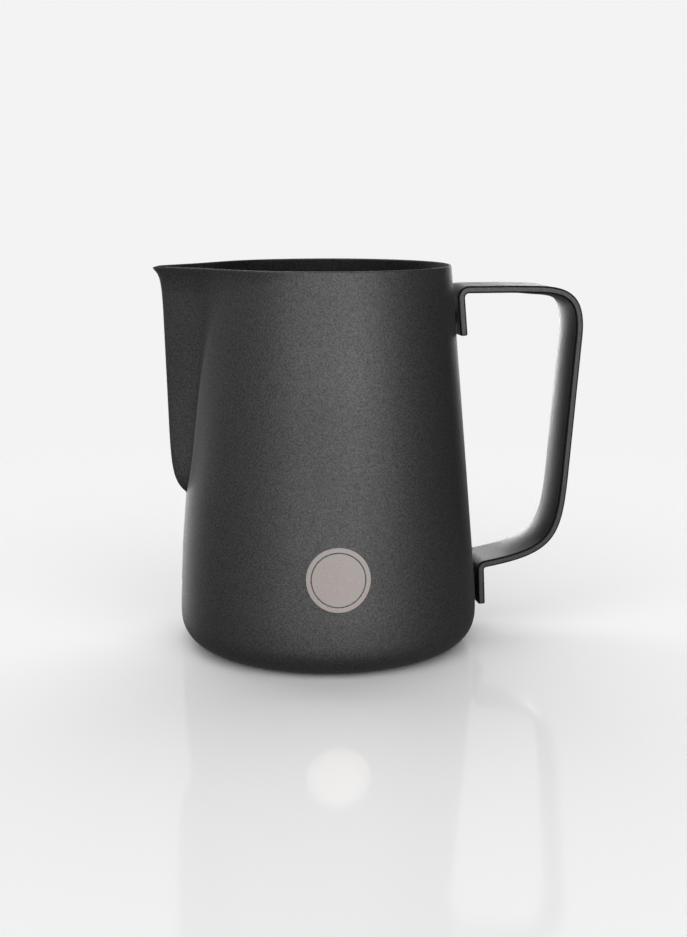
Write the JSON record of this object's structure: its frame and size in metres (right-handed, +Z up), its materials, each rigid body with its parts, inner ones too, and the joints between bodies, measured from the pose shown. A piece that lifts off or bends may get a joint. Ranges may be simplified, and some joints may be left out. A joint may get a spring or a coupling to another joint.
{
  "type": "milk frothing pitcher",
  "caption": "Tapered steel milk frothing pitcher with a sharp V spout and a bent flat-bar handle, in a matt black coating.",
  "frame": {"origin": "centre of the flat underside, on the surface the pitcher stands on", "axes": "+X towards the handle, -X towards the spout, +Z up along the axis of the cup"},
  "size_m": [0.125, 0.088, 0.1113],
  "materials": {
    "coating": "matt fine-textured powder coating",
    "weld": "spot-weld metal darkened by the heat of welding"
  },
  "bodies": {
    "root": {"body_shell": "coating", "spout": "coating", "handle_strap": "coating", "upper_weld_left": "weld", "upper_weld_right": "weld", "lower_weld_left": "weld", "lower_weld_right": "weld"}
  },
  "joints": []
}
